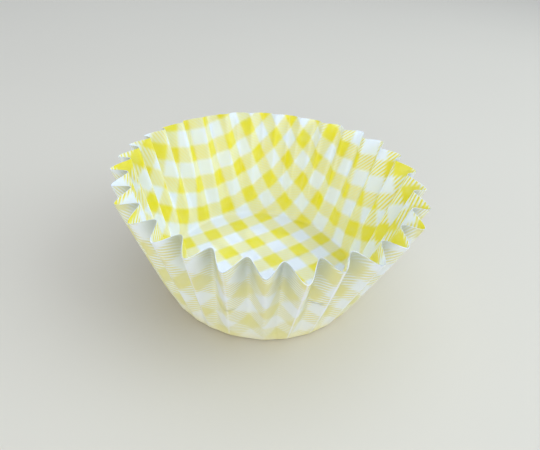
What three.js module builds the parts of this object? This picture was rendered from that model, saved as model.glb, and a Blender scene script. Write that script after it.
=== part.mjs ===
import * as THREE from 'three';

// A pleated bento food cup: one round sheet of thin white film paper, printed on its inner face and
// pressed into a flat round floor with a flaring wall of upright pleats. Millimetres, +Z up. The origin
// is the centre of the underside and the front of the cup faces -Y. A turn is an angle about +Z that
// starts at the front and grows towards +X.

const { degToRad } = THREE.MathUtils;

// The sheet
const SHEET_THICKNESS = 0.15;
const FLOOR_RADIUS = 25.3; // out to the fold between floor and wall
const WALL_SLANT = 30.8; // from that fold to the rim, along the sheet
const WALL_LEAN = degToRad(17.8); // of the mean wall, outwards from upright

// The folds
const PLEATS = 30;
const FOOT_BEND_RADIUS = 1.2; // of the sheet where the floor turns up into the wall
const PLEAT_RUN_IN = 1; // slant over which the pleats rise out of the bend
const FIRST_PLEAT_TURN = degToRad(4.3); // of the pleat tip nearest the front

// What handling did. The rim stands a little to the back of the floor, and its pleats have drifted
// round the cup in three waves that add up: crest is where a wave pushes them on the furthest.
const RIM_OFFSET = new THREE.Vector2(0.3, 1.1);
const RIM_DRIFT = [
  { waves: 1, size: degToRad(3.6), crest: degToRad(164) },
  { waves: 2, size: degToRad(0.8), crest: degToRad(76) },
  { waves: 3, size: degToRad(1.3), crest: degToRad(-15) },
];
// Two pleats left of the front stand further round at the foot, and one right of it leans out.
const FOOT_DRIFT = { turn: degToRad(-14), spread: degToRad(12), size: degToRad(-7) };
const LEANING_TIP = { turn: degToRad(16), spread: degToRad(6), out: 1.2 };

// Fineness of the facets
const STEPS_PER_PLEAT = 8;
const BEND_STEPS = 3;
const WALL_STEPS = 5;
const WALL_STEP_GROWTH = 1.4; // rings lie closer together near the foot, where the pleats start
const DIFFERENCE_STEP = 1e-3; // mm and radians, for the slope of the pressed sheet

const SHEET_COLOUR = 0xf2efb4;
const SHEET_ROUGHNESS = 0.5;

// Lengths along the flat sheet, measured from its centre
const bendTurn = Math.PI / 2 - WALL_LEAN;
const bendTangent = FOOT_BEND_RADIUS * Math.tan(bendTurn / 2);
const bendStart = FLOOR_RADIUS - bendTangent;
const bendEnd = bendStart + FOOT_BEND_RADIUS * bendTurn;
const sheetRadius = bendEnd + WALL_SLANT - bendTangent;
const rimHeight = WALL_SLANT * Math.cos(WALL_LEAN); // of the mean wall

// Radius and height of the mean wall, at a distance along the sheet from its centre.
function meanProfile(run) {
  if (run <= bendStart) {
    return { radius: run, height: 0 };
  }
  if (run < bendEnd) {
    const angle = (run - bendStart) / FOOT_BEND_RADIUS;
    return {
      radius: bendStart + FOOT_BEND_RADIUS * Math.sin(angle),
      height: FOOT_BEND_RADIUS * (1 - Math.cos(angle)),
    };
  }
  const slant = run - bendEnd + bendTangent;
  return {
    radius: FLOOR_RADIUS + slant * Math.sin(WALL_LEAN),
    height: slant * Math.cos(WALL_LEAN),
  };
}

// Half the depth of the pleats. A ring of the flat sheet keeps its length when it is drawn in to the
// mean radius, so what is left over goes into a wave of this height.
function pleatHeight(run, meanRadius) {
  const risen = Math.max(run - bendStart, 0);
  const spare = Math.max(run ** 2 - meanRadius ** 2, 0);
  return (Math.sqrt(2 * spare) / PLEATS) * (risen / (risen + PLEAT_RUN_IN));
}

// How near a turn is to the middle of a local fault: 1 there, fading to 0 over about twice its spread.
function nearness(fault, turn) {
  const apart = Math.atan2(Math.sin(turn - fault.turn), Math.cos(turn - fault.turn));
  return Math.exp(-((apart / fault.spread) ** 2));
}

// How far round the cup handling has moved the sheet. rimShare is 0 at the foot and 1 at the rim.
function drift(turn, rimShare) {
  const atRim = RIM_DRIFT.reduce(
    (sum, { waves, size, crest }) => sum + size * Math.cos(waves * (turn - crest)),
    0,
  );
  const atFoot = FOOT_DRIFT.size * nearness(FOOT_DRIFT, turn);
  return rimShare * atRim + (1 - rimShare) * atFoot;
}

// How far out handling has moved the sheet.
function lean(turn, rimShare) {
  const offset = RIM_OFFSET.x * Math.sin(turn) - RIM_OFFSET.y * Math.cos(turn);
  return rimShare * offset + rimShare ** 2 * LEANING_TIP.out * nearness(LEANING_TIP, turn);
}

// Middle of the sheet once it is pressed. A pleat that leans out stands lower, because the sheet along
// it is as long as along the mean wall.
function pressedPoint(run, turn) {
  const mean = meanProfile(run);
  const rimShare = mean.height / rimHeight;
  const pleat = pleatHeight(run, mean.radius) * Math.cos(PLEATS * (turn - FIRST_PLEAT_TURN));
  const out = pleat + lean(turn, rimShare);
  const lost = out * (2 * mean.height * Math.tan(WALL_LEAN) + out);
  const height = Math.sqrt(mean.height ** 2 - lost);
  const radius = mean.radius + out;
  const shiftedTurn = turn + drift(turn, rimShare);
  return new THREE.Vector3(
    radius * Math.sin(shiftedTurn),
    -radius * Math.cos(shiftedTurn),
    height + SHEET_THICKNESS / 2,
  );
}

// Direction square to the pressed sheet, towards the inside of the cup.
function inwardNormal(run, turn) {
  if (run <= bendStart) {
    return new THREE.Vector3(0, 0, 1);
  }
  const h = DIFFERENCE_STEP;
  const along = pressedPoint(run + h, turn).sub(pressedPoint(run - h, turn));
  const around = pressedPoint(run, turn + h).sub(pressedPoint(run, turn - h));
  return along.cross(around).normalize();
}

// Distances from the centre of the sheet at which it gets a ring of points.
function sheetRings() {
  const rings = [0];
  for (let step = 0; step < BEND_STEPS; step += 1) {
    rings.push(bendStart + ((bendEnd - bendStart) * step) / BEND_STEPS);
  }
  for (let step = 0; step <= WALL_STEPS; step += 1) {
    const share = (step / WALL_STEPS) ** WALL_STEP_GROWTH;
    rings.push(bendEnd + (sheetRadius - bendEnd) * share);
  }
  return rings;
}

// The flat sheet as a thin disc, with its section turned about its middle.
function flatSheet() {
  const rings = sheetRings();
  const half = SHEET_THICKNESS / 2;
  const underside = rings.map((run) => new THREE.Vector2(run, -half));
  const upper = rings.map((run) => new THREE.Vector2(run, half)).reverse();
  const disc = new THREE.LatheGeometry([...underside, ...upper], PLEATS * STEPS_PER_PLEAT);
  return disc.rotateX(Math.PI / 2);
}

// Presses the disc into the cup: each of its points moves to its place on the pleated sheet.
function press(disc) {
  const points = disc.getAttribute('position');
  for (let i = 0; i < points.count; i += 1) {
    const run = Math.hypot(points.getX(i), points.getY(i));
    const turn = Math.atan2(points.getX(i), -points.getY(i)) + FIRST_PLEAT_TURN;
    const side = points.getZ(i);
    const place = pressedPoint(run, turn).addScaledVector(inwardNormal(run, turn), side);
    points.setXYZ(i, place.x, place.y, place.z);
  }
  disc.computeVertexNormals();
  return disc;
}

function pleatedCup() {
  const material = new THREE.MeshStandardMaterial({
    color: SHEET_COLOUR,
    roughness: SHEET_ROUGHNESS,
    metalness: 0,
  });
  const cup = new THREE.Mesh(press(flatSheet()), material);
  cup.name = 'pleated_cup';
  return cup;
}

const foodCup = new THREE.Group();
foodCup.add(pleatedCup());

export default foodCup;
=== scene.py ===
import math
import random
from typing import NamedTuple

import bpy
from mathutils import Matrix, Vector


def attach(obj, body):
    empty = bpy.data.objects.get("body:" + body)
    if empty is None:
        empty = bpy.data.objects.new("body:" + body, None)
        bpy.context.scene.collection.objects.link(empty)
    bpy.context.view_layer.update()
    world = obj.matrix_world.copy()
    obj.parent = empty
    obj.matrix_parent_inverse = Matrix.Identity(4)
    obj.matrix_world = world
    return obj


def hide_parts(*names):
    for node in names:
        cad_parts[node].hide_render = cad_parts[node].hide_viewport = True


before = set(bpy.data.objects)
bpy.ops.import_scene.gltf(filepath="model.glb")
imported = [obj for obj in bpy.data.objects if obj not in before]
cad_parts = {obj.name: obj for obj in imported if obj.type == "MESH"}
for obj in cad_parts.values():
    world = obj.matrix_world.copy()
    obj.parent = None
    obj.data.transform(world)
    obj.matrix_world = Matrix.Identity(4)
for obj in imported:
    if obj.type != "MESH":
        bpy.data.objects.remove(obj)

bl_info = {
    "name": "Pleated Food Cup",
    "version": (1, 0, 0),
    "blender": (4, 5, 0),
    "location": "3D View > Sidebar > Food Cup",
    "description": "Presses one printed round sheet into a pleated food cup and sets it on a plain floor",
    "category": "Object",
}

MM = 0.001
UV_NAME = "flat_sheet"
CREST_NAME = "pleat_crest"  # 1 on the ridges that point out, -1 on those that point in
RISE_NAME = "wall_rise"  # 0 on the floor and at the foot, 1 at the rim
CREASE_HIGHLIGHT_NAME = "ridge_highlight"  # how strongly the painted highlight shows along the nearest outward ridge


class LocalFault(NamedTuple):
    """A fault of the wall that fades away round the cup."""

    turn: float  # of its middle
    spread: float
    size: float


class TipFault(NamedTuple):
    """How far one tip of the rim was knocked out of line."""

    out: float = 0.0
    onward: float = 0.0  # an angle round the cup
    up: float = 0.0


class PrintDraw(NamedTuple):
    """How far the press drew the wall's print off its place."""

    fold: float
    to_rim: float  # what is added from the fold up to the rim

    def at(self, rise):
        return self.fold + self.to_rim * rise


class Finish(NamedTuple):
    """How one face of the sheet takes ink and light."""

    solid_cover: float  # share of the ink that shows on a solid check
    half_cover: float  # and on a half-tone one
    line_contrast: float  # of the half tone's fine lines
    cloud: tuple  # the ink's mottle: scale per millimetre of the flat sheet, detail and roughness
    mottle: float  # how much of the ink comes and goes with it
    roughness: float
    coat: float
    coat_roughness: float
    relief: float
    relief_depth: float


class Tint(NamedTuple):
    """A colour of painted light or shade that comes over one zone of the outer face."""

    colour: tuple
    share: float  # where it is strongest
    rise: tuple  # how far up the wall it starts to change, and ends


class Lamp(NamedTuple):
    """A soft round lamp."""

    place: tuple
    target: tuple
    size: float
    colour: tuple


# Fineness of the sheet's mesh
STEPS_PER_PLEAT = 24
FLOOR_RINGS = 3
BEND_RINGS = 6
WALL_RINGS = 34
SMOOTH_BELOW = math.radians(50)  # edges that bend more, as along the cut, stay sharp

# What handling did: the rim stands a little to the back of the floor, and the pleats have drifted round
# the cup. A turn is an angle about +Z from the front, which grows towards +X. The solid has the same
# values, but for the drift at the foot, which was measured more closely here.
FIRST_PLEAT_TURN = math.radians(4.3)
PLEAT_RUN_IN = 1.0 * MM
RIM_OFFSET = Vector((0.3 * MM, 1.1 * MM))
RIM_DRIFT = (  # waves round the cup, size, turn of the crest
    (1, math.radians(3.6), math.radians(164)),
    (2, math.radians(0.8), math.radians(76)),
    (3, math.radians(1.3), math.radians(-15)),
)
FOOT_DRIFT = LocalFault(turn=math.radians(-17), spread=math.radians(12), size=math.radians(-6.2))
LEANING_TIP = LocalFault(turn=math.radians(16), spread=math.radians(6), size=1.2 * MM)

# Shape of a pleat: 0 gives round ridges, 1 nearly flat flanks
FOOT_CREASE, RIM_CREASE = 0.9, 0.15
FLAT_FLANK_RATIO = 9  # of the first wave to the third in a pleat with flat flanks

# Tips out of line, counted from the front towards +X
TIP_FAULTS = {
    -13: TipFault(up=-0.4 * MM),
    -12: TipFault(up=-0.4 * MM),
    -11: TipFault(up=-0.5 * MM),
    -10: TipFault(up=-0.25 * MM),
    -7: TipFault(out=0.4 * MM, onward=math.radians(-1.2)),
    -6: TipFault(out=-0.45 * MM),
    -1: TipFault(out=0.4 * MM),
    0: TipFault(out=0.36 * MM, onward=math.radians(0.3)),
    2: TipFault(out=-0.4 * MM, onward=math.radians(-0.4)),
    3: TipFault(out=0.5 * MM),
    8: TipFault(up=0.3 * MM),
    9: TipFault(up=0.6 * MM),
    10: TipFault(up=1.0 * MM),
    11: TipFault(up=1.0 * MM),
    12: TipFault(up=0.5 * MM),
}

# Strength of the painted highlight along the outward ridges: those at the front, counted from the front
# towards
# +X, then the range of the rest
FRONT_HIGHLIGHT = {-3: 0.35, -2: 0.8, -1: 0.45, 0: 0.05, 1: 0.95, 2: 1.0, 3: 0.7, 4: 0.3}
OTHER_HIGHLIGHT = (0.1, 0.8)
HIGHLIGHT_SEED = 7

# The print on the flat sheet. From a little inside the fold the press drew it inwards: all round, more
# at the front than at the back, and in an oval. At the sides it also drew it round towards the back.
DRAW_WIDTH = 4.5 * MM  # from where that starts to the fold
DRAW_ALL = PrintDraw(0.85 * MM, 0.25 * MM)
DRAW_FRONT = PrintDraw(1.4 * MM, 0.6 * MM)
DRAW_OVAL = PrintDraw(-0.26 * MM, -0.16 * MM)
DRAW_SIDES = PrintDraw(1.5 * MM, 2.1 * MM)
LATTICE_START = (-0.30, 1.10)  # middle of a solid check from the middle of the sheet, in repeats
HALF_BAND = 0.25  # of a repeat, so the bands are as wide as the gaps between them
CHECK_SOFTNESS = 0.6  # mm on either side of a band's edge over which it fades
LINE_EDGE = (0.12, 0.40)  # from the middle of a fine line, in line spacings, over which it fades
LINE_COVER = 0.52  # mean of the lines that this gives

# The half tone's lines are crisp where this weighted place is far on, and faint where it is not
CLARITY_UP, CLARITY_BACK, CLARITY_RIGHT = 1.3, 0.85, 0.3
CLARITY_ENDS = (8 * MM, 30 * MM)
CLARITY_LEAST = 0.12

# Noises: scale, detail and roughness. The first two are per millimetre of the flat sheet, the next two
# per metre of the cup and the last per metre of the floor.
FIBRE = (5.0, 4.0, 0.65)
CRINKLE = (0.9, 3.0, 0.7)
# the next noise breaks up the painted highlight along the outward ridges
HIGHLIGHT_BREAKUP = (400.0, 2.0, 0.5)
CUT_FIBRE = (260.0, 3.0, 0.5)
FLOOR_CLOUD = (9.0, 2.0, 0.5)

# The film paper
INNER = Finish(
    solid_cover=0.97, half_cover=0.59, line_contrast=0.75, cloud=(0.35, 3.0, 0.5), mottle=0.24,
    roughness=0.42, coat=0.5, coat_roughness=0.28, relief=0.15, relief_depth=0.05 * MM,
)
OUTER = Finish(
    solid_cover=0.9, half_cover=0.48, line_contrast=0.92, cloud=(0.3, 4.0, 0.6), mottle=0.5,
    roughness=0.40, coat=0.2, coat_roughness=0.35, relief=0.8, relief_depth=0.15 * MM,
)
FIBRE_ROUGHNESS = 0.15  # that the fibre adds
FILM_IOR = 1.48
LIGHT_THROUGH = 0.6
LIGHT_THROUGH_COLOUR = (1.0, 1.0, 0.8)
LIGHT_THROUGH_DEPTH = 0.5 * MM

# Outer face: a painted glow of light through the paper low on the wall, painted shade in the hollows under
# the rim, a painted warm glow at the foot, and a painted highlight along the outward ridges
# painted glow of light through the paper, low on the wall
PAINTED_LOW_GLOW = Tint((0.84, 0.82, 0.66), share=0.7, rise=(0.0, 0.6))
# painted shade in the hollows under the rim
PAINTED_HOLLOW_SHADE = Tint((0.40, 0.43, 0.35), share=0.8, rise=(0.5, 1.05))
PAINTED_SHADE_CREST = (-0.8, 0.9)  # away from an outward ridge
# painted warm glow of light through the paper at the foot
PAINTED_FOOT_GLOW = Tint((0.90, 0.79, 0.40), share=0.6, rise=(0.0, 0.16))
# painted highlight along the outward ridges
PAINTED_CREASE_HIGHLIGHT = Tint((0.93, 0.94, 0.90), share=1.0, rise=(0.01, 0.1))
CREASE_HIGHLIGHT_CREST = (0.97, 1.0)
CREASE_HIGHLIGHT_LEAST = 0.35
OUTER_FIBRE = 0.3  # height of the fibre against the crinkles

# Crescent dents in the outer face, by the centre of each one's circle
DENTS = ((11.1 * MM, -27.3 * MM, 17.2 * MM), (-6.4 * MM, -28.6 * MM, 15.0 * MM))
DENT_RADIUS = 2.0 * MM
DENT_LINE = 0.5 * MM
DENT_BELOW = (0.2 * DENT_RADIUS, 0.8 * DENT_RADIUS)  # how far below its centre it starts, and is full
DENT_DEPTH = 4.0  # against the crinkles

# The cut edge
EDGE_DARK = (0.42, 0.46, 0.44)
EDGE_PALE = (0.80, 0.84, 0.84)
EDGE_FIBRE = (0.35, 0.65)
EDGE_ROUGHNESS = 0.7

# The stage
FLOOR_SIZE = 6.0
FLOOR_ROUGHNESS = 0.6
FLOOR_SHADE = 0.97  # of the floor's darker clouds
KEY_LIGHT = Lamp((0.08, 0.14, 0.70), (0.0, 0.0, 0.0), 1.0, (0.83, 0.91, 1.07))
SIDE_LIGHT = Lamp((0.56, -0.08, 0.44), (0.0, 0.0, 0.02), 0.6, (0.76, 0.89, 1.09))
FILL_LIGHT = Lamp((-0.10, -0.62, 0.34), (0.0, 0.0, 0.02), 0.5, (0.98, 1.0, 1.08))
SKY_COLOUR = (0.84, 0.94, 1.32)
BACKDROP_COLOUR = (0.66, 0.70, 0.74)

# The camera, as fitted to the print and the rim of the cup in the photograph
CAMERA_ELEVATION = 0.632456072
CAMERA_LEAN = -0.0956049719
CAMERA_PAN = -0.00778536669
CAMERA_DISTANCE = 122.487181 * MM
CAMERA_ASIDE = 0.0844916787 * MM
CAMERA_RISE = 11.3551695 * MM
CAMERA_SENSOR = 36.0
CAMERA_LENS = 30.0
CAMERA_CLIP = 1 * MM

# The colour sockets of a Mix node
MIX_FACTOR, MIX_FIRST, MIX_SECOND, MIX_RESULT = 0, 6, 7, 2


class FoodCupSheet(bpy.types.PropertyGroup):
    """Sizes of the pressed sheet"""

    thickness: bpy.props.FloatProperty(
        name="Thickness", description="Thickness of the film paper", default=0.10 * MM,
        min=0.05 * MM, unit="LENGTH", precision=5,
    )
    floor_radius: bpy.props.FloatProperty(
        name="Floor Radius", description="From the centre to the fold between floor and wall",
        default=25.3 * MM, unit="LENGTH", precision=4,
    )
    wall_slant: bpy.props.FloatProperty(
        name="Wall Slant", description="From that fold to the rim, along the sheet",
        default=30.8 * MM, unit="LENGTH", precision=4,
    )
    wall_lean: bpy.props.FloatProperty(
        name="Wall Lean", description="Outward lean of the mean wall", default=math.radians(17.8),
        subtype="ANGLE", unit="ROTATION",
    )
    foot_bend_radius: bpy.props.FloatProperty(
        name="Foot Bend", description="Radius at which the floor turns up into the wall",
        default=1.2 * MM, unit="LENGTH", precision=4,
    )
    pleats: bpy.props.IntProperty(
        name="Pleats", description="Number of pleats round the wall", default=30, min=8,
    )


class FoodCupPrint(bpy.types.PropertyGroup):
    """The gingham on the inner face and the colours of the paper"""

    repeat: bpy.props.FloatProperty(
        name="Repeat", description="Distance from one solid check to the next", default=9.03 * MM,
        unit="LENGTH", precision=5,
    )
    repeat_turn: bpy.props.FloatProperty(
        name="Turn", description="Direction of the bands on the flat sheet",
        default=math.radians(38.6), subtype="ANGLE", unit="ROTATION",
    )
    lines: bpy.props.IntProperty(
        name="Lines", description="Fine diagonal lines of the half tone in one repeat", default=8, min=1,
    )
    ink: bpy.props.FloatVectorProperty(
        name="Ink", description="Printed yellow", subtype="COLOR", size=3,
        default=(0.90, 0.748, 0.012), min=0.0, max=1.0,
    )
    paper: bpy.props.FloatVectorProperty(
        name="Paper", description="Unprinted inner face", subtype="COLOR", size=3,
        default=(0.86, 0.97, 1.0), min=0.0, max=1.0,
    )
    back: bpy.props.FloatVectorProperty(
        name="Back", description="Bare outer face", subtype="COLOR", size=3,
        default=(0.805, 0.845, 0.79), min=0.0, max=1.0,
    )
    back_ink: bpy.props.FloatVectorProperty(
        name="Ink Seen From Behind", description="Yellow as it shows through the sheet",
        subtype="COLOR", size=3, default=(0.745, 0.68, 0.27), min=0.0, max=1.0,
    )


class FoodCupStage(bpy.types.PropertyGroup):
    """Floor and light"""

    floor_colour: bpy.props.FloatVectorProperty(
        name="Floor", description="Colour of the plain floor", subtype="COLOR", size=3,
        default=(0.655, 0.60, 0.45), min=0.0, max=1.0,
    )
    key_power: bpy.props.FloatProperty(
        name="Key Light", description="Power of the broad light from above and a little behind",
        default=2.8, min=0.0, unit="POWER",
    )
    side_power: bpy.props.FloatProperty(
        name="Side Light", description="Power of the soft light from the right",
        default=2.5, min=0.0, unit="POWER",
    )
    fill_power: bpy.props.FloatProperty(
        name="Fill Light", description="Power of the soft light from the front",
        default=1.65, min=0.0, unit="POWER",
    )
    sky: bpy.props.FloatProperty(
        name="Sky", description="Strength of the even light all round", default=0.50, min=0.0,
    )


class Signal:
    """Output socket of a material's node. Arithmetic on it adds Math nodes."""

    def __init__(self, shader, socket):
        self.shader = shader
        self.socket = socket

    def math(self, operation, *others):
        values = dict(enumerate((self, *others)))
        return self.shader.node("ShaderNodeMath", {"operation": operation}, values)

    def from_whole(self):
        """Distance to the nearest whole number."""
        return self.math("PINGPONG", 0.5)

    def __add__(self, other):
        return self.math("ADD", other)

    __radd__ = __add__

    def __sub__(self, other):
        return self.math("SUBTRACT", other)

    def __rsub__(self, other):
        return self.shader.node("ShaderNodeMath", {"operation": "SUBTRACT"}, {0: other, 1: self})

    def __mul__(self, other):
        return self.math("MULTIPLY", other)

    __rmul__ = __mul__


class Shader:
    """Node tree of a material or of the world."""

    def __init__(self, owner):
        self.owner = owner
        owner.use_nodes = True
        self.tree = owner.node_tree
        self.tree.nodes.clear()

    def node(self, kind, settings=None, inputs=None, output=0):
        """Adds a node, sets its settings and then its sockets, and returns one of its outputs."""
        node = self.tree.nodes.new(kind)
        for name, value in (settings or {}).items():
            setattr(node, name, value)
        for key, value in (inputs or {}).items():
            if isinstance(value, Signal):
                self.tree.links.new(value.socket, node.inputs[key])
            else:
                node.inputs[key].default_value = value
        return Signal(self, node.outputs[output])

    def mix(self, factor, first, second):
        """Colour between first and second."""
        settings = {"data_type": "RGBA", "clamp_factor": True}
        inputs = {MIX_FACTOR: factor, MIX_FIRST: first, MIX_SECOND: second}
        return self.node("ShaderNodeMix", settings, inputs, output=MIX_RESULT)

    def fade(self, value, start, end):
        """0 where value is below start, 1 above end, and smooth between them."""
        inputs = {"Value": value, "From Min": start, "From Max": end}
        return self.node("ShaderNodeMapRange", {"interpolation_type": "SMOOTHSTEP"}, inputs)

    def noise(self, vector, scale, detail, roughness):
        """Cloudy values round 0.5."""
        inputs = {"Vector": vector, "Scale": scale, "Detail": detail, "Roughness": roughness}
        return self.node("ShaderNodeTexNoise", None, inputs)

    def body(self):
        """Place on the piece, in metres."""
        return self.node("ShaderNodeTexCoord", output="Object")

    def axis(self, vector, name):
        """One of the three values of a vector."""
        return self.node("ShaderNodeSeparateXYZ", None, {"Vector": vector}, output=name)

    def marked(self, name):
        """Value of one of the piece's own attributes."""
        return self.node("ShaderNodeAttribute", {"attribute_name": name}, output="Fac")

    def finish(self, surface, kind="ShaderNodeOutputMaterial"):
        """Leads the surface to the output and returns the material or world."""
        output = self.tree.nodes.new(kind)
        self.tree.links.new(surface.socket, output.inputs["Surface"])
        return self.owner


def opaque(colour):
    return (*colour, 1.0)


def smooth(share):
    """Eases a share in and out, and holds it between 0 and 1."""
    share = min(max(share, 0.0), 1.0)
    return share * share * (3 - 2 * share)


def nearness(fault, turn):
    """1 at the middle of a local fault, fading to 0 over about twice its spread."""
    apart = math.atan2(math.sin(turn - fault.turn), math.cos(turn - fault.turn))
    return math.exp(-((apart / fault.spread) ** 2))


def run_and_turn(point):
    """Distance of a point of the flat sheet from its middle, and the point's turn from the front."""
    return math.hypot(point.x, point.y), math.atan2(point.x, -point.y)


class SheetLaw:
    """Where each point of the flat round sheet lies once it is pressed into the cup."""

    def __init__(self, sheet):
        self.pleats = sheet.pleats
        self.thickness = sheet.thickness
        self.lean = sheet.wall_lean
        self.floor_radius = sheet.floor_radius
        self.bend_radius = sheet.foot_bend_radius
        bend_turn = math.pi / 2 - self.lean
        self.bend_tangent = self.bend_radius * math.tan(bend_turn / 2)
        self.bend_start = self.floor_radius - self.bend_tangent
        self.bend_end = self.bend_start + self.bend_radius * bend_turn
        self.sheet_radius = self.bend_end + sheet.wall_slant - self.bend_tangent
        self.rim_height = sheet.wall_slant * math.cos(self.lean)
        self.faults = [TipFault()] * self.pleats
        for ridge, fault in TIP_FAULTS.items():
            self.faults[ridge] = fault

    def mean_profile(self, run):
        """Radius and height of the mean wall, at a distance along the sheet from its centre."""
        if run <= self.bend_start:
            return run, 0.0
        if run < self.bend_end:
            angle = (run - self.bend_start) / self.bend_radius
            radius = self.bend_start + self.bend_radius * math.sin(angle)
            return radius, self.bend_radius * (1 - math.cos(angle))
        slant = run - self.bend_end + self.bend_tangent
        return self.floor_radius + slant * math.sin(self.lean), slant * math.cos(self.lean)

    def pleat_height(self, run, mean_radius):
        """Half the depth of the pleats, which take up what a ring loses when it is drawn in."""
        risen = max(run - self.bend_start, 0.0)
        spare = max(run**2 - mean_radius**2, 0.0)
        return math.sqrt(2 * spare) / self.pleats * risen / (risen + PLEAT_RUN_IN)

    def pleat_wave(self, phase, rim_share):
        """Section of a pleat, from 1 on the outward ridge to -1 on the inward one."""
        crease = FOOT_CREASE + (RIM_CREASE - FOOT_CREASE) * rim_share
        waves = FLAT_FLANK_RATIO * math.cos(phase) + crease * math.cos(3 * phase)
        return waves / (FLAT_FLANK_RATIO + crease)

    def tip_fault(self, phase):
        """How far out, round and up the tips beside a phase were knocked."""
        ridges = phase / (2 * math.pi)
        ridge = math.floor(ridges)
        onward = math.sin(math.pi / 2 * (ridges - ridge)) ** 2
        before = self.faults[ridge % self.pleats]
        after = self.faults[(ridge + 1) % self.pleats]
        return TipFault(*(old + (new - old) * onward for old, new in zip(before, after)))

    def place(self, run, turn):
        """Middle of the pressed sheet, with the point's phase in the pleats and its share of the way up."""
        mean_radius, mean_height = self.mean_profile(run)
        rim_share = mean_height / self.rim_height
        foot_shift = (1 - rim_share) * FOOT_DRIFT.size * nearness(FOOT_DRIFT, turn)
        phase = self.pleats * (turn - foot_shift - FIRST_PLEAT_TURN)
        fault = self.tip_fault(phase)
        offset = RIM_OFFSET.x * math.sin(turn) - RIM_OFFSET.y * math.cos(turn)
        tip = LEANING_TIP.size * nearness(LEANING_TIP, turn) + fault.out
        pleat = self.pleat_height(run, mean_radius) * self.pleat_wave(phase, rim_share)
        out = pleat + rim_share * offset + rim_share**2 * tip
        lost = out * (2 * mean_height * math.tan(self.lean) + out)
        height = math.sqrt(max(mean_height**2 - lost, 0.0))
        height += rim_share**2 * fault.up * (1 + math.cos(phase)) / 2
        drift = sum(size * math.cos(waves * (turn - crest)) for waves, size, crest in RIM_DRIFT)
        turned = turn + rim_share * drift + rim_share**2 * fault.onward
        radius = mean_radius + out
        place = Vector((radius * math.sin(turned), -radius * math.cos(turned), height + self.thickness / 2))
        return place, phase, rim_share

    def rings(self):
        """Distances from the centre of the sheet at which its mesh has a ring of points."""
        stretches = (
            (0.0, self.bend_start, FLOOR_RINGS),
            (self.bend_start, self.bend_end, BEND_RINGS),
            (self.bend_end, self.sheet_radius, WALL_RINGS),
        )
        return [
            start + (end - start) * (step + 1) / steps
            for start, end, steps in stretches
            for step in range(steps)
        ]


def deselect_all():
    """Leaves object mode with nothing selected, so an operator acts only on what is chosen next."""
    if bpy.context.object and bpy.context.object.mode != "OBJECT":
        bpy.ops.object.mode_set(mode="OBJECT")
    bpy.ops.object.select_all(action="DESELECT")


def model_flat_sheet(law):
    """A round disc drawn outwards ring by ring from a small circle."""
    deselect_all()
    rings = law.rings()
    points = law.pleats * STEPS_PER_PLEAT
    bpy.ops.mesh.primitive_circle_add(vertices=points, radius=rings[0], fill_type="TRIFAN")
    disc = bpy.context.object
    bpy.ops.object.mode_set(mode="EDIT")
    bpy.ops.mesh.select_mode(type="EDGE")
    bpy.ops.mesh.select_all(action="DESELECT")
    bpy.ops.mesh.select_non_manifold(extend=False)
    for inner, outer in zip(rings, rings[1:]):
        grow = outer / inner
        bpy.ops.mesh.extrude_edges_move()
        bpy.ops.transform.resize(value=(grow, grow, 1.0), center_override=(0.0, 0.0, 0.0))
    bpy.ops.mesh.select_all(action="SELECT")
    bpy.ops.mesh.normals_make_consistent(inside=False)
    bpy.ops.object.mode_set(mode="OBJECT")
    if disc.data.polygons[0].normal.z < 0:
        disc.data.flip_normals()
    return disc


def print_place(law, run, turn):
    """Which point of the flat print lies at a point of the sheet, after the press drew the wall's print."""
    drawn = smooth((run - law.bend_end + DRAW_WIDTH) / DRAW_WIDTH)
    rise = max(run - law.bend_end, 0.0) / (law.sheet_radius - law.bend_end)
    front = DRAW_FRONT.at(rise) * math.cos(turn)
    oval = DRAW_OVAL.at(rise) * math.cos(2 * turn)
    drawn_run = run + drawn * (front + oval + DRAW_ALL.at(rise))
    shift = drawn * DRAW_SIDES.at(rise) * math.sin(turn)
    drawn_turn = turn - shift / max(run, law.bend_start / 2)
    return drawn_run * math.sin(drawn_turn), -drawn_run * math.cos(drawn_turn)


def lay_out_print(disc, law):
    """Gives the flat disc a UV map in which 0.5 is the middle and 1 twice the sheet's radius from 0."""
    layer = disc.data.uv_layers.new(name=UV_NAME)
    places = [print_place(law, *run_and_turn(vertex.co)) for vertex in disc.data.vertices]
    for loop in disc.data.loops:
        x, y = places[loop.vertex_index]
        layer.data[loop.index].uv = (x / (2 * law.sheet_radius) + 0.5, y / (2 * law.sheet_radius) + 0.5)


def press(disc, law):
    """Moves each point of the disc to its place on the pleated cup, and marks where it is on the wall."""
    names = (CREST_NAME, RISE_NAME, CREASE_HIGHLIGHT_NAME)
    crests, rises, highlight_values = (disc.data.attributes.new(name, "FLOAT", "POINT") for name in names)
    chance = random.Random(HIGHLIGHT_SEED)
    # strength of the painted highlight along each outward ridge
    ridge_highlights = [chance.uniform(*OTHER_HIGHLIGHT) for _ in range(law.pleats)]
    for ridge, strength in FRONT_HIGHLIGHT.items():
        ridge_highlights[ridge] = strength
    for vertex in disc.data.vertices:
        vertex.co, phase, rise = law.place(*run_and_turn(vertex.co))
        ridge = round(phase / (2 * math.pi)) % law.pleats
        crests.data[vertex.index].value = math.cos(phase)
        rises.data[vertex.index].value = rise
        highlight_values.data[vertex.index].value = ridge_highlights[ridge]
    disc.data.update()


def apply_modifier(piece, kind, **settings):
    """Adds a modifier to the active piece and applies it."""
    modifier = piece.modifiers.new(kind.title(), kind)
    for name, value in settings.items():
        setattr(modifier, name, value)
    bpy.ops.object.modifier_apply(modifier=modifier.name)


def flat_place(shader, law):
    """Place on the flat sheet in millimetres from its middle, as two values."""
    uv = shader.node("ShaderNodeUVMap", {"uv_map": UV_NAME})
    width = 2 * law.sheet_radius / MM
    return [(shader.axis(uv, name) - 0.5) * width for name in "XY"]


def flat_vector(shader, flat):
    """That place as one vector."""
    return shader.node("ShaderNodeCombineXYZ", None, {"X": flat[0], "Y": flat[1]})


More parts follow.
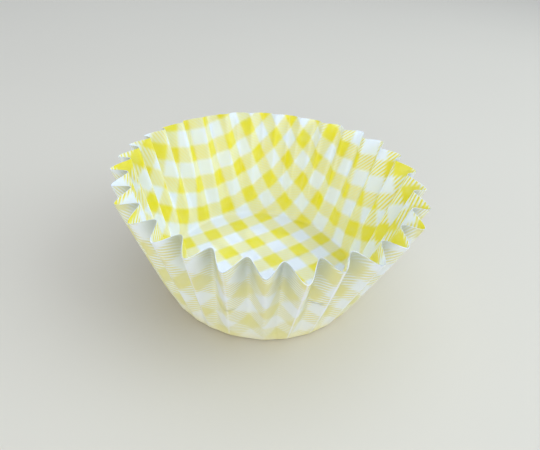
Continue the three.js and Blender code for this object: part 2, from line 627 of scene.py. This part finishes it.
def gingham(shader, across, along, cup_print):
    """Where the print is solid, where it is half tone, and the fine lines that make the half tone."""
    repeat = cup_print.repeat / MM
    cosine = math.cos(cup_print.repeat_turn) / repeat
    sine = math.sin(cup_print.repeat_turn) / repeat
    across = across - LATTICE_START[0] * repeat
    along = along - LATTICE_START[1] * repeat
    first = across * cosine + along * sine
    second = across * sine - along * cosine
    edge = CHECK_SOFTNESS / repeat
    one_way, other_way = (
        1 - shader.fade(lattice.from_whole(), HALF_BAND - edge, HALF_BAND + edge)
        for lattice in (first, second)
    )
    solid = one_way * other_way
    half_tone = one_way + other_way - solid * 2
    lines = ((first - second) * float(cup_print.lines)).from_whole()
    return solid, half_tone, 1 - shader.fade(lines, *LINE_EDGE)


def line_clarity(shader):
    """The half tone's lines are crisp round the front of the rim and run together towards the back."""
    body = shader.body()
    right, back, up = (shader.axis(body, name) for name in "XYZ")
    ahead = up * CLARITY_UP - back * CLARITY_BACK + right * CLARITY_RIGHT
    return shader.fade(ahead, *CLARITY_ENDS) * (1 - CLARITY_LEAST) + CLARITY_LEAST


def ink_cover(shader, flat, cup_print, finish, contrast):
    """How much ink shows at each place of a face, with the contrast of the half tone's lines."""
    solid, half_tone, lines = gingham(shader, *flat, cup_print)
    tone = (lines - LINE_COVER) * contrast + finish.half_cover
    mottle = shader.noise(flat_vector(shader, flat), *finish.cloud)
    ink = solid * finish.solid_cover + half_tone * tone
    return ink * (mottle * finish.mottle + (1 - finish.mottle / 2))


def film(shader, colour, fibre, height, finish):
    """Satin film paper that lets a little light through."""
    bump = shader.node(
        "ShaderNodeBump", None,
        {"Strength": finish.relief, "Distance": finish.relief_depth, "Height": height},
    )
    surface = shader.node(
        "ShaderNodeBsdfPrincipled", None,
        {
            "Base Color": colour,
            "Roughness": fibre * FIBRE_ROUGHNESS + finish.roughness,
            "IOR": FILM_IOR,
            "Normal": bump,
            "Coat Weight": finish.coat,
            "Coat Roughness": finish.coat_roughness,
            "Subsurface Weight": LIGHT_THROUGH,
            "Subsurface Radius": LIGHT_THROUGH_COLOUR,
            "Subsurface Scale": LIGHT_THROUGH_DEPTH,
        },
    )
    return shader.finish(surface)


def printed_face(cup_print, law):
    """Inner face: white film paper under yellow gingham."""
    shader = Shader(bpy.data.materials.new("printed_inner_face"))
    flat = flat_place(shader, law)
    ink = ink_cover(shader, flat, cup_print, INNER, line_clarity(shader) * INNER.line_contrast)
    colour = shader.mix(ink, opaque(cup_print.paper), opaque(cup_print.ink))
    fibre = shader.noise(flat_vector(shader, flat), *FIBRE)
    return film(shader, colour, fibre, fibre, INNER)


def dent(shader, body, centre):
    """A small crescent pressed into the wall, below its centre."""
    settings = {"operation": "DISTANCE"}
    apart = shader.node("ShaderNodeVectorMath", settings, {0: body, 1: centre}, output="Value")
    line = 1 - shader.fade((apart - DENT_RADIUS).math("ABSOLUTE"), 0.0, DENT_LINE)
    return line * shader.fade(centre[2] - shader.axis(body, "Z"), *DENT_BELOW)


def plain_face(cup_print, law):
    """Outer face: bare paper through which the print shows, with painted glow, painted shade and a painted
    highlight along the ridges.
    """
    shader = Shader(bpy.data.materials.new("bare_outer_face"))
    flat = flat_place(shader, law)
    body = shader.body()
    rise = shader.marked(RISE_NAME)
    crest = shader.marked(CREST_NAME)
    # painted glow of light through the paper, low on the wall
    low = 1 - shader.fade(rise, *PAINTED_LOW_GLOW.rise)
    # painted shade in the hollows under the rim, away from the outward ridges
    hollow = shader.fade(0 - crest, *PAINTED_SHADE_CREST) * shader.fade(rise, *PAINTED_HOLLOW_SHADE.rise)
    # painted warm glow of light through the paper at the foot
    foot = 1 - shader.fade(rise, *PAINTED_FOOT_GLOW.rise)
    # painted highlight along the outward ridges, broken up by noise
    highlight_strength = shader.marked(CREASE_HIGHLIGHT_NAME) * (shader.noise(body, *HIGHLIGHT_BREAKUP) + CREASE_HIGHLIGHT_LEAST)
    crease_highlight = shader.fade(crest, *CREASE_HIGHLIGHT_CREST) * shader.fade(rise, *PAINTED_CREASE_HIGHLIGHT.rise) * highlight_strength
    ink = ink_cover(shader, flat, cup_print, OUTER, OUTER.line_contrast)
    paper = shader.mix(low * PAINTED_LOW_GLOW.share, opaque(cup_print.back), opaque(PAINTED_LOW_GLOW.colour))
    colour = shader.mix(ink, paper, opaque(cup_print.back_ink))
    for mask, tint in ((hollow, PAINTED_HOLLOW_SHADE), (foot, PAINTED_FOOT_GLOW), (crease_highlight, PAINTED_CREASE_HIGHLIGHT)):
        colour = shader.mix(mask * tint.share, colour, opaque(tint.colour))
    place = flat_vector(shader, flat)
    fibre = shader.noise(place, *FIBRE)
    dents = sum(dent(shader, body, centre) for centre in DENTS)
    height = fibre * OUTER_FIBRE + shader.noise(place, *CRINKLE) - dents * DENT_DEPTH
    return film(shader, colour, fibre, height, OUTER)


def cut_edge():
    """The thin white edge that the cutter left."""
    shader = Shader(bpy.data.materials.new("cut_edge"))
    fibre = shader.fade(shader.noise(shader.body(), *CUT_FIBRE), *EDGE_FIBRE)
    colour = shader.mix(fibre, opaque(EDGE_DARK), opaque(EDGE_PALE))
    inputs = {"Base Color": colour, "Roughness": EDGE_ROUGHNESS}
    return shader.finish(shader.node("ShaderNodeBsdfPrincipled", None, inputs))


class FOODCUP_OT_pressed_sheet(bpy.types.Operator):
    """Press the printed sheet into the pleated cup"""

    bl_idname = "foodcup.pressed_sheet"
    bl_label = "Pressed Sheet"

    def execute(self, context):
        sheet = context.scene.food_cup_sheet
        cup_print = context.scene.food_cup_print
        law = SheetLaw(sheet)
        cup = model_flat_sheet(law)
        cup.name = "pressed_sheet"
        cup.data.name = "pressed_sheet"
        lay_out_print(cup, law)
        press(cup, law)
        cup.data.materials.append(printed_face(cup_print, law))
        cup.data.materials.append(plain_face(cup_print, law))
        cup.data.materials.append(cut_edge())
        apply_modifier(
            cup, "SOLIDIFY", thickness=sheet.thickness, offset=0.0, use_even_offset=True,
            material_offset=1, material_offset_rim=2,
        )
        bpy.ops.object.shade_smooth_by_angle(angle=SMOOTH_BELOW)
        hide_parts("pleated_cup")
        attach(cup, "root")
        return {"FINISHED"}


def soft_lamp(name, lamp, power):
    """Hangs a lamp at its place and points it at its target."""
    bpy.ops.object.light_add(type="AREA", location=lamp.place)
    light = bpy.context.object
    light.name = name
    light.data.shape = "DISK"
    light.data.size = lamp.size
    light.data.energy = power
    light.data.color = lamp.colour
    towards = Vector(lamp.target) - light.location
    light.rotation_euler = towards.to_track_quat("-Z", "Y").to_euler()


def even_light(sky):
    """A world that lights the cup evenly and shows a pale backdrop where it is seen or mirrored."""
    shader = Shader(bpy.data.worlds.new("even_light"))
    inputs = {"Color": opaque(SKY_COLOUR), "Strength": sky}
    light = shader.node("ShaderNodeBackground", None, inputs)
    backdrop = shader.node("ShaderNodeBackground", None, {"Color": opaque(BACKDROP_COLOUR)})
    rays = ("Is Camera Ray", "Is Glossy Ray", "Is Transmission Ray")
    seen = sum(shader.node("ShaderNodeLightPath", output=ray) for ray in rays)
    both = shader.node("ShaderNodeMixShader", None, {0: seen, 1: light, 2: backdrop})
    return shader.finish(both, "ShaderNodeOutputWorld")


def stand_camera():
    """The photograph's view: above the front of the cup, with the camera leaning a little."""
    right = Vector((1.0, 0.0, 0.0))
    forward = Vector((0.0, math.cos(CAMERA_ELEVATION), -math.sin(CAMERA_ELEVATION)))
    up = right.cross(forward)
    place = -forward * CAMERA_DISTANCE + right * CAMERA_ASIDE + up * CAMERA_RISE
    pan_turn = Matrix.Rotation(CAMERA_PAN, 3, up)
    right, forward = pan_turn @ right, pan_turn @ forward
    lean_turn = Matrix.Rotation(CAMERA_LEAN, 3, forward)
    right, up = lean_turn @ right, lean_turn @ right.cross(forward)
    bpy.ops.object.camera_add()
    camera = bpy.context.object
    camera.name = "photo_camera"
    axes = Matrix((right, up, -forward)).transposed().to_4x4()
    camera.matrix_world = Matrix.Translation(place) @ axes
    camera.data.sensor_width = CAMERA_SENSOR
    camera.data.lens = CAMERA_LENS
    camera.data.clip_start = CAMERA_CLIP
    bpy.context.scene.camera = camera


def lay_floor(floor_colour):
    """A wide plain floor under the cup."""
    bpy.ops.mesh.primitive_plane_add(size=FLOOR_SIZE)
    floor = bpy.context.object
    floor.name = "floor"
    shader = Shader(bpy.data.materials.new("plain_floor"))
    cloud = shader.noise(shader.body(), *FLOOR_CLOUD)
    dark = [channel * FLOOR_SHADE for channel in floor_colour]
    colour = shader.mix(cloud, opaque(dark), opaque(floor_colour))
    inputs = {"Base Color": colour, "Roughness": FLOOR_ROUGHNESS}
    floor.data.materials.append(shader.finish(shader.node("ShaderNodeBsdfPrincipled", None, inputs)))


class FOODCUP_OT_stage(bpy.types.Operator):
    """Lay the floor, set the lights and stand the camera at the photograph's angle"""

    bl_idname = "foodcup.stage"
    bl_label = "Stage"

    def execute(self, context):
        stage = context.scene.food_cup_stage
        deselect_all()
        lay_floor(stage.floor_colour)
        soft_lamp("key_light", KEY_LIGHT, stage.key_power)
        soft_lamp("side_light", SIDE_LIGHT, stage.side_power)
        soft_lamp("fill_light", FILL_LIGHT, stage.fill_power)
        context.scene.world = even_light(stage.sky)
        context.scene.view_settings.view_transform = "Standard"
        stand_camera()
        return {"FINISHED"}


class FOODCUP_PT_sidebar(bpy.types.Panel):
    """Sizes, print and stage of the cup, with a button for each of its makers"""

    bl_idname = "FOODCUP_PT_sidebar"
    bl_label = "Food Cup"
    bl_space_type = "VIEW_3D"
    bl_region_type = "UI"
    bl_category = "Food Cup"

    def draw(self, context):
        for group in GROUPS:
            column = self.layout.column()
            settings = getattr(context.scene, group)
            for name in settings.__annotations__:
                column.prop(settings, name)
        for maker in MAKERS:
            self.layout.operator(maker.bl_idname)


MAKERS = (FOODCUP_OT_pressed_sheet, FOODCUP_OT_stage)
GROUPS = {
    "food_cup_sheet": FoodCupSheet,
    "food_cup_print": FoodCupPrint,
    "food_cup_stage": FoodCupStage,
}


def register():
    for group in GROUPS.values():
        bpy.utils.register_class(group)
    for maker in MAKERS:
        bpy.utils.register_class(maker)
    bpy.utils.register_class(FOODCUP_PT_sidebar)
    for name, group in GROUPS.items():
        setattr(bpy.types.Scene, name, bpy.props.PointerProperty(type=group))


def unregister():
    for name in GROUPS:
        delattr(bpy.types.Scene, name)
    bpy.utils.unregister_class(FOODCUP_PT_sidebar)
    for maker in reversed(MAKERS):
        bpy.utils.unregister_class(maker)
    for group in reversed(GROUPS.values()):
        bpy.utils.unregister_class(group)


def main():
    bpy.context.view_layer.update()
    register()
    bpy.ops.foodcup.pressed_sheet()
    bpy.ops.foodcup.stage()


if __name__ == "__main__":
    main()
